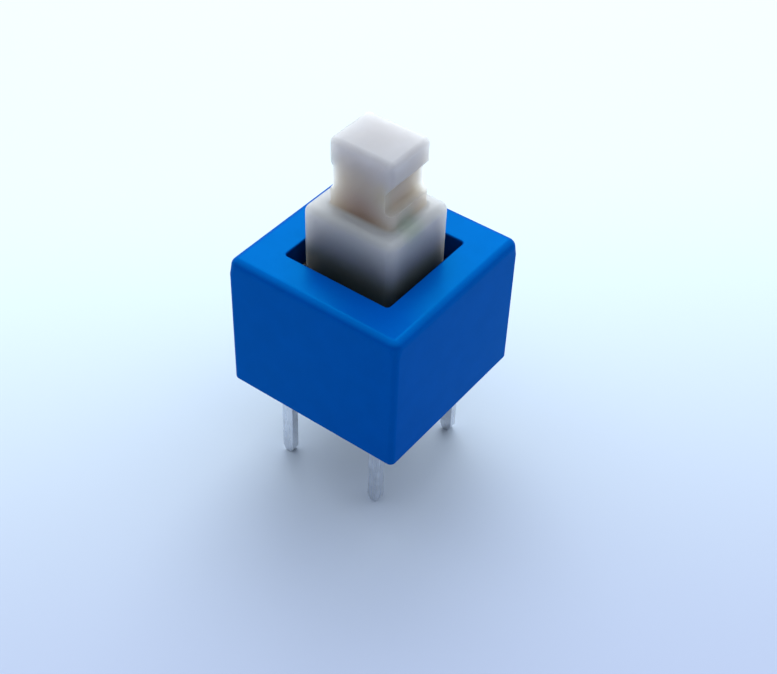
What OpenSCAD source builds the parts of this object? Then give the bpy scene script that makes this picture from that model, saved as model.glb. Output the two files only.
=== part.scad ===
// Square pushbutton switch for a circuit board: two poles, push-on push-off latch.
// Millimetres. The origin lies under the middle of the case, level with the pin tips, +Z up.
// +X is towards the open side of the poles, the latch works on the -X side.

/* [Case] */
// Outside width of the case, the same both ways
case_w = 8.5; // [8.2:0.1:10]
// Height of the case from its rim to its top face
case_h = 6.6; // [6.6:0.1:8]
// Thickness of the side walls
wall_t = 0.8; // [0.7:0.05:0.9]
// Thickness of the roof round the opening
roof_t = 1.2; // [1:0.05:1.3]
// Radius of the edges and corners of the top face
edge_r = 0.4; // [0.25:0.05:0.6]
// Radius of the upright corners
corner_r = 0.25; // [0.1:0.05:0.6]
// Width of the square opening in the roof
opening_w = 5.2; // [4.9:0.05:5.4]
// Radius in the corners of the opening
opening_r = 0.15; // [0.1:0.05:0.4]
// Width of the rib that guides the plunger
guide_w = 1.0; // [0.8:0.1:1.4]
// How far the guide rib stands out of the wall
guide_h = 0.5; // [0.3:0.05:0.6]

/* [Base] */
// Thickness of the floor that carries the terminals
base_t = 1.4; // [1.3:0.1:1.6]
// How far the floor stands below the rim of the case
base_drop = 0.5; // [0.3:0.05:0.7]
// Width of the posts behind the terminal blades
post_w = 1.3; // [1.2:0.05:1.5]
// Depth of the moulding recess under the floor
recess_h = 0.25; // [0.1:0.05:0.4]
// Height of the peg inside the spring
peg_h = 0.8; // [0.5:0.1:1.2]
// How far the snap barbs stand out of the base
barb_h = 0.22; // [0.1:0.02:0.3]
// Length of each snap barb along the wall
barb_w = 1.6; // [1:0.1:2]

/* [Terminals] */
// Distance between the two terminals of a pole
pin_pitch = 4.8; // [4.6:0.1:5]
// Distance between the two poles
pole_pitch = 5.5; // [5.4:0.05:5.6]
// Width of a pin
pin_w = 0.6; // [0.5:0.05:0.7]
// Thickness of the terminal strip
strip_t = 0.4; // [0.3:0.05:0.4]
// Length of the pins below the floor
pin_len = 4.1; // [3:0.1:5]
// Length of the taper at a pin's tip
tip_h = 0.3; // [0.1:0.05:0.5]
// Width of the blade inside the case
blade_w = 1.1; // [0.9:0.05:1.15]
// Space between the top of a long blade, always touched by its contact, and the roof
blade_gap = 0.2; // [0.15:0.05:0.4]
// Height of the short blade, touched when the plunger is down
short_blade_h = 2.1; // [1.6:0.1:2.2]

/* [Plunger] */
// Full travel of the plunger
travel = 2.3; // [1.8:0.05:2.3]
// Travel at which the latch holds it
latch_travel = 1.6; // [1.5:0.05:1.65]
// Width of the shoulder, across the latch
shoulder_w = 4.45; // [4.2:0.05:4.6]
// Depth of the shoulder, between the poles
shoulder_d = 3.9; // [3.7:0.05:4.2]
// Height of the shoulder above the case
shoulder_h = 2.3; // [2.3:0.05:3]
// Width of the stem that takes a button cap
stem_w = 3.1; // [2.9:0.05:3.3]
// Depth of the stem, between the poles
stem_d = 2.5; // [2.4:0.05:2.8]
// How far the stem stands off the middle, towards its deeper groove
stem_shift = 0.1; // [0:0.02:0.12]
// Height of the stem above the shoulder
stem_h = 3.2; // [2.8:0.05:4]
// Height of the stem's foot, below the snap groove
foot_h = 0.5; // [0.4:0.05:0.7]
// Height of the stem's head, above the snap groove
head_h = 1.0; // [0.8:0.05:1.2]
// Height of the sloping underside of the head
head_slope_h = 0.5; // [0.2:0.05:0.6]
// Depth of the snap groove on the +X side
groove_deep = 0.36; // [0.2:0.02:0.4]
// Depth of the snap groove on the -X side
groove_shallow = 0.24; // [0.08:0.02:0.3]
// Radius of the shoulder's outside edges
shoulder_r = 0.35; // [0.1:0.05:0.4]
// Radius of the stem's outside edges
stem_r = 0.25; // [0.1:0.05:0.3]
// Radius of the fillet between the stem and the shoulder
root_r = 0.2; // [0.05:0.05:0.25]
// Radius of the bore for the return spring
bore_r = 1.15; // [1.1:0.05:1.2]
// Depth of the spring bore above the skirt's underside
bore_h = 4.25; // [4:0.05:4.6]
// Width across the skirt, between the poles
skirt_w = 4.6; // [4.4:0.05:4.7]

/* [Latch] */
// Width of the sunken face that carries the heart cam
cam_face_w = 2.8; // [2.6:0.1:3]
// Depth of that face below the shoulder's side
cam_face_h = 0.25; // [0.15:0.05:0.3]
// Depth of the cam track at its deepest
track_h = 0.36; // [0.3:0.02:0.4]
// Step in the floor of the track at each one-way edge
track_step = 0.06; // [0.03:0.01:0.08]
// Diameter of the latch wire
wire_d = 0.35; // [0.3:0.01:0.36]
// Height of the follower end above the pivot end
arm_h = 3.55; // [3.5:0.01:3.6]
// Sideways swing of the follower over the full push
swing_left = 0.5; // [0.4:0.02:0.55]
// Offset of the latch catch from the follower's rest line
catch_y = 0.22; // [0.2:0.01:0.26]
// Offset of the return track from the follower's rest line
return_y = 0.82; // [0.78:0.01:0.86]
// Thickness of the leaf that presses on the wire
leaf_t = 0.12; // [0.08:0.01:0.14]
// Width of the leaf
leaf_w = 1.6; // [1.2:0.1:1.8]

/* [Contacts] */
// Thickness of the bridging contact
contact_t = 0.12; // [0.08:0.01:0.14]
// Height of the bridging contact
contact_h = 1.0; // [0.8:0.05:1.1]
// Radius of the stake that holds a contact
stake_r = 0.3; // [0.25:0.01:0.35]

/* [Return spring] */
// Diameter of the spring wire
spring_wire = 0.2; // [0.16:0.01:0.22]
// Mean diameter of the coils
spring_d = 1.75; // [1.7:0.01:1.85]
// Number of turns, closed ends included
spring_turns = 10; // [8:1:12]

/* [Clearances] */
// Gap round fixed pieces, such as the base in the case
fit_gap = 0.05; // [0.03:0.01:0.07]
// Gap round sliding pieces
slide_gap = 0.06; // [0.04:0.01:0.08]
// Gap between a contact and the blade it wipes
wipe_gap = 0.05; // [0.03:0.01:0.06]
// Gap below the plunger at full travel
over_travel = 0.15; // [0.1:0.05:0.2]

/* [Hidden] */
$fn = 48;
round_fn = 32;
cut = 0.01;       // overshoot of a cutting tool past the face that it opens

blue = "#0d5bc4";
ivory = "#d9d6d2";
black = "#26262a";
tin = "#c3c6ca";
bronze = "#c8955c";
steel = "#9a9da3";

// Levels, from the pin tips up
z_floor_under = pin_len;
z_rim = z_floor_under + base_drop;
z_floor = z_floor_under + base_t;
z_top = z_rim + case_h;
z_roof = z_top - roof_t;
z_skirt = z_floor + travel + over_travel;
z_skirt_top = z_roof - fit_gap;
z_shoulder = z_top + shoulder_h;
z_bore = z_skirt + bore_h;

// Half widths inside the case
inner = case_w / 2 - wall_t;
base_half = inner - fit_gap;
lug_x = inner - slide_gap;
shoulder_half = shoulder_w / 2;
skirt_half = skirt_w / 2;
cam_x = shoulder_half - cam_face_h;

// Terminal blades stand with their inner faces this far from the middle
blade_y = pole_pitch / 2 - strip_t / 2;
pin_x = pin_pitch / 2;
post_y = pole_pitch / 2 + strip_t / 2;
long_blade_h = z_roof - blade_gap - z_floor;
post_top = z_roof - blade_gap / 2;

// Bridging contacts
pocket_y = skirt_half - 0.2;
contact_z = z_skirt + 0.35;
crown_y = blade_y - wipe_gap;

// Latch
wire_r = wire_d / 2;
track_w = wire_d + 2 * slide_gap;
z_pivot = z_floor - 0.65;
z_follower = z_pivot + arm_h;
cam_y = -(return_y - swing_left) / 2;
arm_x = -(shoulder_half + wire_r + slide_gap);
elbow_r = 0.3;
pivot_bore_r = wire_r + 0.03;
pivot_in = 0.9;         // where the pivot end of the wire stops, from the middle
cam_top = z_follower + travel + track_w / 2 + 0.15;

// A block with all its outside edges rounded but those of its flat underside
module rounded_block(w, d, h, r) {
    a = w / 2 - r;
    b = d / 2 - r;
    pillar(w, d, h - r, r);
    translate([-a, -b, 0]) cube([2 * a, 2 * b, h]);
    for (side = [-1, 1]) {
        translate([side * a, -b, h - r]) rotate([-90, 0, 0]) cylinder(r = r, h = 2 * b);
        translate([-a, side * b, h - r]) rotate([0, 90, 0]) cylinder(r = r, h = 2 * a);
        for (x = [-a, a]) translate([x, side * b, h - r]) sphere(r);
    }
}

// A square block whose upright corners swell into rounder ones at the top
module case_block(w, h, corner, edge) {
    hull() {
        pillar(w, w, h - 2 * edge, corner, $fn = round_fn);
        for (x = [-1, 1], y = [-1, 1])
            translate([x * (w / 2 - edge), y * (w / 2 - edge), h - edge]) sphere(edge, $fn = round_fn);
    }
}

// A square prism with round upright edges
module pillar(w, d, h, r) {
    linear_extrude(h) {
        square([w - 2 * r, d], center = true);
        square([w, d - 2 * r], center = true);
        for (x = [-1, 1], y = [-1, 1])
            translate([x * (w / 2 - r), y * (d / 2 - r)]) circle(r);
    }
}

// A box given by its lowest and highest corners
module box(low, high) {
    translate(low) cube(high - low);
}

module both_poles() {
    children();
    mirror([0, 1, 0]) children();
}

// Case: one moulded shell with an opening in its roof
module case_shell() {
    color(blue)
    difference() {
        union() {
            difference() {
                translate([0, 0, z_rim]) case_block(case_w, case_h, corner_r, edge_r);
                translate([0, 0, z_rim - cut])
                    pillar(2 * inner, 2 * inner, z_roof - z_rim + cut, opening_r);
            }
            // rib that runs in the plunger's groove
            box([inner - guide_h, -guide_w / 2, z_floor + fit_gap],
                [inner + cut, guide_w / 2, z_roof + cut]);
        }
        translate([0, 0, z_roof - 1]) pillar(opening_w, opening_w, roof_t + 2, opening_r);
        // blind pockets for the snap barbs of the base
        both_poles()
            box([-barb_w / 2 - fit_gap, inner - cut, z_floor - 0.7],
                [barb_w / 2 + fit_gap, inner + barb_h + fit_gap, z_floor - 0.1]);
        // seat of the latch leaf in the -X wall
        box([-inner - leaf_t, -leaf_w / 2 - fit_gap, z_rim - cut],
            [-inner + cut, leaf_w / 2 + fit_gap, z_skirt_top]);
    }
}

// Wedge that snaps into the case wall
module barb() {
    translate([barb_w / 2, base_half - cut, z_floor - 0.65]) rotate([0, -90, 0])
        linear_extrude(barb_w)
            polygon([[0, 0], [0, barb_h + fit_gap], [0.12, barb_h + fit_gap], [0.5, cut], [0.5, 0]]);
}

// Post behind a terminal blade. On the +X side it steps forward over the short blade.
module post(x) {
    box([x - post_w / 2, post_y, z_floor - cut], [x + post_w / 2, base_half, post_top]);
    if (x > 0)
        box([x - post_w / 2, blade_y + 0.02, z_floor + short_blade_h + fit_gap],
            [x + post_w / 2, post_y + cut, post_top]);
}

// Base: moulded floor with posts, spring peg, barbs and the latch pivot
module base() {
    color(black)
    difference() {
        union() {
            translate([0, 0, z_floor_under])
                pillar(2 * base_half, 2 * base_half, base_t, opening_r);
            translate([0, 0, z_floor - cut])
                cylinder(r = spring_d / 2 - spring_wire / 2 - 0.12, h = peg_h + cut);
            both_poles() {
                post(-pin_x);
                post(pin_x);
                barb();
            }
        }
        // slots for the pins, with a seat for each blade's shoulder
        for (x = [-pin_x, pin_x], y = [-pole_pitch / 2, pole_pitch / 2]) {
            box([x - pin_w / 2 - 0.02, y - strip_t / 2 - 0.02, z_floor_under - cut],
                [x + pin_w / 2 + 0.02, y + strip_t / 2 + 0.02, z_floor + cut]);
            box([x - blade_w / 2 - 0.02, y - strip_t / 2 - 0.02, z_floor - 0.2],
                [x + blade_w / 2 + 0.02, y + strip_t / 2 + 0.02, z_floor + cut]);
        }
        // moulding recess underneath
        translate([0, 0, z_floor_under - cut]) pillar(3.4, 3.4, recess_h + cut, 0.3);
        // well for the latch wire and the leaf
        box([-base_half - cut, -leaf_w / 2 - fit_gap, z_pivot - wire_r - 0.15],
            [arm_x + wire_r + 0.1, leaf_w / 2 + fit_gap, z_floor + cut]);
        // pivot bore
        translate([arm_x, cam_y, z_pivot]) rotate([0, 90, 0])
            cylinder(r = pivot_bore_r, h = -arm_x - pivot_in + 0.1);
    }
}

// Terminal: a strip with a tapered pin below and a wiping blade above
module terminal(x, blade_h) {
    color(tin)
    translate([x, -pole_pitch / 2 + strip_t / 2, 0]) rotate([90, 0, 0])
        linear_extrude(strip_t)
            polygon([
                [-pin_w / 4, 0], [pin_w / 4, 0], [pin_w / 2, tip_h],
                [pin_w / 2, z_floor - 0.2], [blade_w / 2, z_floor - 0.2],
                [blade_w / 2, z_floor + blade_h - 0.2], [blade_w / 2 - 0.2, z_floor + blade_h],
                [-blade_w / 2 + 0.2, z_floor + blade_h], [-blade_w / 2, z_floor + blade_h - 0.2],
                [-blade_w / 2, z_floor - 0.2], [-pin_w / 2, z_floor - 0.2],
                [-pin_w / 2, tip_h]
            ]);
}

// Straight stretch of the cam track with round ends, between points p and q
module stretch(p, q) {
    along = q - p;
    length = norm(along);
    translate(p) circle(d = track_w);
    translate(q) circle(d = track_w);
    translate(p) rotate(atan2(along[1], along[0])) translate([0, -track_w / 2]) square([length, track_w]);
}

// One level of the cam track, cut to depth below the sunken face
module track_level(depth) {
    translate([-cam_x + depth, 0, 0]) rotate([90, 0, -90]) linear_extrude(depth + cut) children();
}

// Heart cam: the push track on one side, the catch in the middle, the return track on the other.
// Points are sideways and up, seen from outside, where sideways runs towards -Y.
module heart_cam() {
    rest = [-cam_y, z_follower];
    push_end = rest + [swing_left, travel];
    over_catch = rest + [-catch_y, travel];
    catch = rest + [-catch_y, latch_travel];
    return_top = rest + [-return_y, travel];
    return_mid = rest + [-return_y, latch_travel - 0.6];
    track_level(track_h - 2 * track_step) stretch(rest, push_end);
    track_level(track_h - track_step) stretch(push_end, over_catch);
    track_level(track_h) stretch(over_catch, catch);
    track_level(track_h) stretch(over_catch, return_top);
    track_level(track_h - track_step) stretch(return_top, return_mid);
    track_level(track_h - 2 * track_step) stretch(return_mid, rest);
    track_level(track_h) translate(rest) circle(d = track_w);
}

// Stem for a button cap: a post with a snap groove on two sides
module stem() {
    groove_top = stem_h - head_h;
    half = stem_w / 2;
    translate([stem_shift, 0, z_shoulder]) difference() {
        translate([0, 0, -shoulder_r]) rounded_block(stem_w, stem_d, stem_h + shoulder_r, stem_r);
        translate([0, stem_d / 2 + 1, 0]) rotate([90, 0, 0]) linear_extrude(stem_d + 2) {
            polygon([
                [half + 1, foot_h], [half - groove_deep, foot_h],
                [half - groove_deep, groove_top - head_slope_h], [half, groove_top],
                [half + 1, groove_top]
            ]);
            polygon([
                [-half - 1, foot_h], [-half + groove_shallow, foot_h],
                [-half + groove_shallow, groove_top - groove_shallow], [-half, groove_top],
                [-half - 1, groove_top]
            ]);
        }
    }
}

// Section of a fillet between a wall at the left and a floor below
module cove(r) {
    difference() {
        translate([-0.05, -0.05]) square(r + 0.05);
        translate([r, r]) circle(r);
    }
}

// Fillet all round the foot of the stem
module stem_root() {
    a = stem_w / 2 - stem_r;
    b = stem_d / 2 - stem_r;
    translate([stem_shift, 0, z_shoulder]) for (turn = [0, 180]) rotate(turn) {
        translate([stem_w / 2, b, 0]) rotate([90, 0, 0]) linear_extrude(2 * b) cove(root_r);
        translate([-a, stem_d / 2, 0]) rotate([90, 0, 90]) linear_extrude(2 * a) cove(root_r);
        translate([a, b, 0]) rotate_extrude(angle = 90) translate([stem_r, 0]) cove(root_r);
        translate([-a, b, 0]) rotate(90) rotate_extrude(angle = 90) translate([stem_r, 0]) cove(root_r);
    }
}

// Plunger: stem, shoulder and skirt in one moulding
module plunger() {
    color(ivory)
    difference() {
        union() {
            stem();
            stem_root();
            translate([0, 0, z_skirt])
                rounded_block(shoulder_w, shoulder_d, z_shoulder - z_skirt, shoulder_r);
            translate([0, 0, z_skirt]) pillar(2 * lug_x, skirt_w, z_skirt_top - z_skirt, 0.1);
            // stakes that hold the contacts
            both_poles()
                translate([0, -pocket_y + cut, contact_z + contact_h / 2]) rotate([90, 0, 0])
                    cylinder(r = stake_r, h = contact_t + cut + 0.05);
        }
        // pockets for the contacts, open outwards
        both_poles()
            difference() {
                box([-lug_x - 1, -skirt_half - 1, contact_z - fit_gap],
                    [lug_x + 1, -pocket_y, contact_z + contact_h + fit_gap]);
                translate([0, -pocket_y + cut, contact_z + contact_h / 2]) rotate([90, 0, 0])
                    cylinder(r = stake_r, h = contact_t + cut + 0.05);
            }
        // spring bore
        translate([0, 0, z_skirt - cut]) cylinder(r = bore_r, h = bore_h + cut);
        // sunken cam face, hidden below the case's top face
        box([-lug_x - 1, -cam_face_w / 2, z_skirt - 1], [-cam_x, cam_face_w / 2, cam_top]);
        heart_cam();
        // groove for the guide rib
        box([inner - guide_h - slide_gap, -guide_w / 2 - slide_gap, z_skirt - 1],
            [lug_x + 1, guide_w / 2 + slide_gap, z_skirt_top + 1]);
    }
}

// Return spring: closed end turns, even pitch between them
spring_len = z_bore - z_floor;
spring_steps = 16;
function rise(turn) =
    let (open = spring_len - 3 * spring_wire - 0.04, n = spring_turns - 2)
    spring_wire / 2 + 0.02 + (
        turn < 1 ? turn * spring_wire :
        turn < spring_turns - 1 ? spring_wire + (turn - 1) / n * open :
        spring_wire + open + (turn - spring_turns + 1) * spring_wire);
function ring(turn) =
    let (a = turn * 360, r = spring_d / 2)
    [for (k = [0 : 7])
        let (b = k * 45 + 22.5, s = r + spring_wire / 2 * cos(b))
        [s * cos(a), s * sin(a), rise(turn) + spring_wire / 2 * sin(b)]];
module return_spring() {
    rings = spring_turns * spring_steps;
    points = [for (i = [0 : rings]) each ring(i / spring_steps)];
    sides = [for (i = [0 : rings - 1], k = [0 : 7])
        [i * 8 + k, (i + 1) * 8 + k, (i + 1) * 8 + (k + 1) % 8, i * 8 + (k + 1) % 8]];
    ends = [[for (k = [0 : 7]) k], [for (k = [7 : -1 : 0]) rings * 8 + k]];
    color(steel) translate([0, 0, z_floor]) polyhedron(points, concat(sides, ends));
}

// Round elbow of the latch wire, from +Z to +X, in the XZ plane
module elbow() {
    rotate([90, 0, 0]) rotate_extrude(angle = 90) translate([elbow_r, 0]) circle(wire_r);
}

// Latch wire: a staple that turns in the base and follows the cam
module latch_wire() {
    follower_end = -(cam_x - track_h + 2 * track_step) - 0.04 - wire_r;
    color(steel) translate([arm_x, cam_y, 0]) {
        translate([0, 0, z_pivot + elbow_r]) cylinder(r = wire_r, h = arm_h - 2 * elbow_r);
        translate([elbow_r, 0, z_pivot]) rotate([0, 90, 0])
            cylinder(r = wire_r, h = -arm_x - pivot_in - elbow_r);
        translate([elbow_r, 0, z_pivot + elbow_r]) mirror([1, 0, 0]) mirror([0, 0, 1]) elbow();
        translate([elbow_r, 0, z_follower]) rotate([0, 90, 0])
            cylinder(r = wire_r, h = follower_end - arm_x - elbow_r);
        translate([elbow_r, 0, z_follower - elbow_r]) mirror([1, 0, 0]) elbow();
        translate([follower_end - arm_x, 0, z_follower]) sphere(wire_r);
    }
}

// Leaf: a bowed strip between the case wall and the wire
module latch_leaf() {
    z0 = z_rim + 0.1;
    z1 = z_skirt_top - 0.2;
    tab = 0.5;
    reach = arm_x - wire_r - 0.03 - leaf_t + inner + leaf_t - 0.02;
    function bow(z) = z < z0 + tab || z > z1 - tab ? 0
        : reach * (1 - cos(360 * (z - z0 - tab) / (z1 - z0 - 2 * tab))) / 2;
    steps = 24;
    face = [for (i = [0 : steps]) let (z = z0 + (z1 - z0) * i / steps) [-inner - leaf_t + 0.02 + bow(z), z]];
    back = [for (i = [steps : -1 : 0]) face[i] + [leaf_t, 0]];
    color(bronze) translate([0, leaf_w / 2, 0]) rotate([90, 0, 0]) linear_extrude(leaf_w)
        polygon(concat(face, back));
}

// Bridging contact: a flat middle on its stake and two crowned arms that wipe the blades
module contact_bridge() {
    flat = 1.0;
    end = pin_x + 0.5;
    reach = crown_y - pocket_y - contact_t;
    function crown(x) = abs(x) < flat ? 0
        : reach * (1 - cos(180 * (abs(x) - flat) / (pin_x - flat))) / 2;
    steps = 28;
    inner_line = [for (i = [0 : steps]) let (x = -end + 2 * end * i / steps) [x, -pocket_y - crown(x)]];
    outer_line = [for (i = [steps : -1 : 0]) inner_line[i] - [0, contact_t]];
    color(bronze) difference() {
        translate([0, 0, contact_z]) linear_extrude(contact_h) polygon(concat(outer_line, inner_line));
        translate([0, -pocket_y + 1, contact_z + contact_h / 2]) rotate([90, 0, 0])
            cylinder(r = stake_r + 0.02, h = 2);
    }
}

case_shell();  // case
base();
plunger();
return_spring();
latch_wire();
latch_leaf();
contact_bridge();  // contact_front
mirror([0, 1, 0]) contact_bridge();  // contact_rear
terminal(-pin_x, long_blade_h);  // terminal_front_left
terminal(pin_x, short_blade_h);  // terminal_front_right
mirror([0, 1, 0]) terminal(-pin_x, long_blade_h);  // terminal_rear_left
mirror([0, 1, 0]) terminal(pin_x, short_blade_h);  // terminal_rear_right
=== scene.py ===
"""Square pushbutton switch for a circuit board, with its latch and contacts, on a pale studio floor."""

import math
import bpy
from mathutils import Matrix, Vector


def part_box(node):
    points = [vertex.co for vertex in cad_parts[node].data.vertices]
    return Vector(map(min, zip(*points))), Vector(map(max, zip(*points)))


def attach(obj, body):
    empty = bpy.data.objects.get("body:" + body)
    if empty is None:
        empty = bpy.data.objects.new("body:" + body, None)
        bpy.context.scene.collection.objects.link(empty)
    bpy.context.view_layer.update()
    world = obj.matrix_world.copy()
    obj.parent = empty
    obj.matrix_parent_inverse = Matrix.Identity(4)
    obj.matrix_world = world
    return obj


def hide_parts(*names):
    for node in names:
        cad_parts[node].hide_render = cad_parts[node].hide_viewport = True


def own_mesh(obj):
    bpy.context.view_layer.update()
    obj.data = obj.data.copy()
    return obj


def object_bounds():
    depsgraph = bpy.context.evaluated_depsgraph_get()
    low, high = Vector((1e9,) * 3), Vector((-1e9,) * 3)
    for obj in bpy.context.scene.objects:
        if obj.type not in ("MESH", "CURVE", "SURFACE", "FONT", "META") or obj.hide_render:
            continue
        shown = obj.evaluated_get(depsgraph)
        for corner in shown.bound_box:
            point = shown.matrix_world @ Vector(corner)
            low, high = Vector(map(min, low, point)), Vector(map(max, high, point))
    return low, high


bl_info = {
    "name": "Board Pushbutton Switch",
    "version": (1, 0, 0),
    "blender": (4, 5, 0),
    "location": "View3D > Sidebar > Switch",
    "description": "Models and finishes a square latching pushbutton switch for a circuit board",
    "category": "Add Mesh",
}

import bmesh
import bpy
from mathutils import Matrix, Vector

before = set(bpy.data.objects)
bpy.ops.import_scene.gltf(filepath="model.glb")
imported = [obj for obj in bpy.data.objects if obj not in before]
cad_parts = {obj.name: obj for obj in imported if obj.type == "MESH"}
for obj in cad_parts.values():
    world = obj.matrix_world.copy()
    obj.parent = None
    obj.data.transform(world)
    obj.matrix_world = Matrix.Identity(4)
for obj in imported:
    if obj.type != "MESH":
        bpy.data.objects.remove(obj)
cad_low, cad_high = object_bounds()

MM = 0.001  # one millimetre in metres, the frame's unit

# The pieces are modelled in millimetres, where the mesh tools are accurate, and brought to metres at the end.
# These lengths are in millimetres.
TINY = 1e-4    # slack when faces and edges are found by their place
SLIVER = 2e-4  # the widest sliver that is closed when a piece is finished
REACH = 1.0    # how far a cutting tool stands out past the piece
LAP = 0.1      # how far a joined part or a short tool runs into the piece
ARC = 0.12     # how far in from the outline the edges of round corners may lie
FIT = 0.05     # gap round fixed pieces
SLIDE = 0.06   # gap round sliding pieces
TURN = 0.03    # gap round the latch wire where it turns
PRESS = 0.02   # gap round pieces that are pressed in
SEAT = 0.2     # how deep a blade's shoulder sits in the base
BARB_HALF = 0.8   # half the length of a snap barb
BARB_FOOT = 0.65  # depth of a barb's foot below the top of the base's floor
BARB_HEAD = 0.15  # depth of a barb's head below the same level
SMOOTH = math.radians(32)  # faces that meet at less than this are shaded as one

TERMINALS = ("terminal_front_left", "terminal_front_right", "terminal_rear_left", "terminal_rear_right")


def in_mm(length):
    return length / MM


def node_box(name):
    """Lowest and highest corner of a frame node, in millimetres."""
    low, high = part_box(name)
    return Vector(low) / MM, Vector(high) / MM


def floor_level():
    """Height of the top of the base's floor, in millimetres."""
    return node_box("base")[0].z + in_mm(bpy.context.scene.switch_base.floor)



# ---- sizes and colours


def length(name, description, default, smallest, largest):
    """A length property, given in millimetres and kept in metres."""
    return bpy.props.FloatProperty(
        name=name, description=description, default=default * MM, min=smallest * MM, max=largest * MM,
        precision=5, unit="LENGTH")


def colour(name, description, default):
    return bpy.props.FloatVectorProperty(
        name=name, description=description, subtype="COLOR", default=default, min=0.0, max=1.0)


class SwitchCaseSettings(bpy.types.PropertyGroup):
    """Sizes and finish of the blue case."""

    top_radius: length("Top edge radius", "Radius of the top face's edges and corners", 0.4, 0.1, 0.8)
    corner_radius: length("Corner radius", "Radius of the upright corners below the top", 0.25, 0.1, 0.5)
    opening: length("Opening", "Width of the square opening in the roof", 5.2, 4.5, 5.6)
    inner_radius: length("Inside radius", "Radius of the corners of the opening and inside", 0.15, 0.05, 0.4)
    roof: length("Roof", "Thickness of the roof", 1.2, 0.8, 1.3)
    wall: length("Wall", "Thickness of the side walls", 0.8, 0.6, 0.9)
    guide_width: length("Guide width", "Width of the rib that guides the plunger", 1.0, 0.5, 1.5)
    guide_depth: length("Guide depth", "How far the guide rib stands out of the wall", 0.5, 0.3, 0.6)
    lip: length("Opening edge", "Rounding of the upper edge", 0.07, 0.01, 0.2)
    rim: length("Rim edge", "Rounding of the rim's lower edge", 0.05, 0.01, 0.2)
    pocket: length("Barb pocket", "Depth of the pockets for the barbs", 0.27, 0.2, 0.4)
    colour: colour("Colour", "Colour of the moulded case", (0.0, 0.08, 0.46))
    # Painted shade: the walls of the opening get a darker blue, where little light gets in.
    inside_shade_colour: colour("Painted inside shade", "Painted shade on the walls of the opening", (0.0, 0.05, 0.30))


class SwitchPlungerSettings(bpy.types.PropertyGroup):
    """Sizes and finish of the white plunger."""

    shoulder_width: length("Shoulder width", "Width of the shoulder, across the latch", 4.45, 3.6, 4.6)
    shoulder_depth: length("Shoulder depth", "Depth of the shoulder, between the poles", 3.9, 3.6, 4.6)
    shoulder_top: length("Shoulder top", "Height of the shoulder above the case", 2.3, 2.0, 3.0)
    shoulder_radius: length("Shoulder radius", "Radius of the shoulder's edges", 0.35, 0.05, 0.5)
    stem_width: length("Stem width", "Width of the stem, across its grooves", 3.1, 2.4, 3.3)
    stem_depth: length("Stem depth", "Depth of the stem, between the poles", 2.5, 2.2, 2.8)
    stem_shift: length("Stem shift", "Shift of the stem towards its deeper groove", 0.1, 0.0, 0.2)
    stem_radius: length("Stem radius", "Radius of the stem's edges", 0.25, 0.05, 0.4)
    root_radius: length("Root radius", "Fillet between stem and shoulder", 0.2, 0.02, 0.3)
    foot: length("Foot", "Height of the stem's foot below its grooves", 0.75, 0.3, 0.9)
    head: length("Head", "Height of the stem's head above its grooves", 1.0, 0.6, 1.3)
    head_slope: length("Head slope", "Height of the sloping underside of the head", 0.5, 0.2, 0.6)
    groove_deep: length("Deep groove", "Depth of the groove on the +X side", 0.36, 0.1, 0.5)
    groove_shallow: length("Shallow groove", "Depth of the groove on the -X side", 0.24, 0.1, 0.5)
    groove_radius: length("Groove radius", "Radius at the foot of the grooves", 0.22, 0.02, 0.3)
    groove_edge: length("Groove edges", "Radius of the edges round the grooves", 0.1, 0.02, 0.12)
    skirt_radius: length("Skirt radius", "Radius of the skirt's upright corners", 0.1, 0.05, 0.3)
    cam_width: length("Cam face", "Width of the sunken face of the heart cam", 2.8, 2.0, 3.2)
    cam_depth: length("Cam face depth", "Depth of the cam face below the side", 0.25, 0.1, 0.4)
    track: length("Cam track", "Depth of the cam track at its deepest", 0.36, 0.2, 0.5)
    track_step: length("Track step", "Step in the track's floor at each one-way edge", 0.06, 0.02, 0.1)
    contact_pocket: length("Contact pocket", "Depth of the pockets for the contacts", 0.2, 0.1, 0.4)
    stake: length("Stake", "Radius of the stakes that hold the contacts", 0.3, 0.2, 0.4)
    stake_height: length("Stake height", "Height of the stakes", 0.17, 0.1, 0.2)
    bore: length("Spring bore", "Radius of the bore for the return spring", 1.15, 1.0, 1.3)
    bore_depth: length("Bore depth", "Depth of the spring bore", 4.25, 3.0, 4.6)
    colour: colour("Colour", "Colour of the moulded plunger", (0.40, 0.395, 0.425))
    # Painted shade: the neck is made warmer than the head, as light comes through the head.
    neck_shade_colour: colour("Neck shade", "Warm painted shade on the neck below the head", (0.42, 0.375, 0.325))
    # Painted shade: brownish shade at the foot of the neck, where it meets the shoulder.
    root_shade_colour: colour("Root shade", "Brownish painted shade at the foot of the neck", (0.33, 0.24, 0.18))
    # Painted shade: a dull greenish shade on the +X side of the stem's foot.
    foot_shade_colour: colour("Foot shade", "Painted shade on the +X side of the stem's foot", (0.31, 0.36, 0.32))
    # Painted shade: warm shade on the neck's front corner.
    corner_shade_colour: colour("Corner shade", "Warm painted shade on the neck's front corner", (0.41, 0.36, 0.27))
    shoulder_colour: colour("Shoulder colour", "Colour of the shoulder's top", (0.40, 0.405, 0.415))
    # Painted shade: the shoulder's sides darken from its top down into the case.
    skirt_shade_colour: colour("Skirt shade", "Painted shade darkening the shoulder's sides down into the case", (0.045, 0.065, 0.068))


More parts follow.
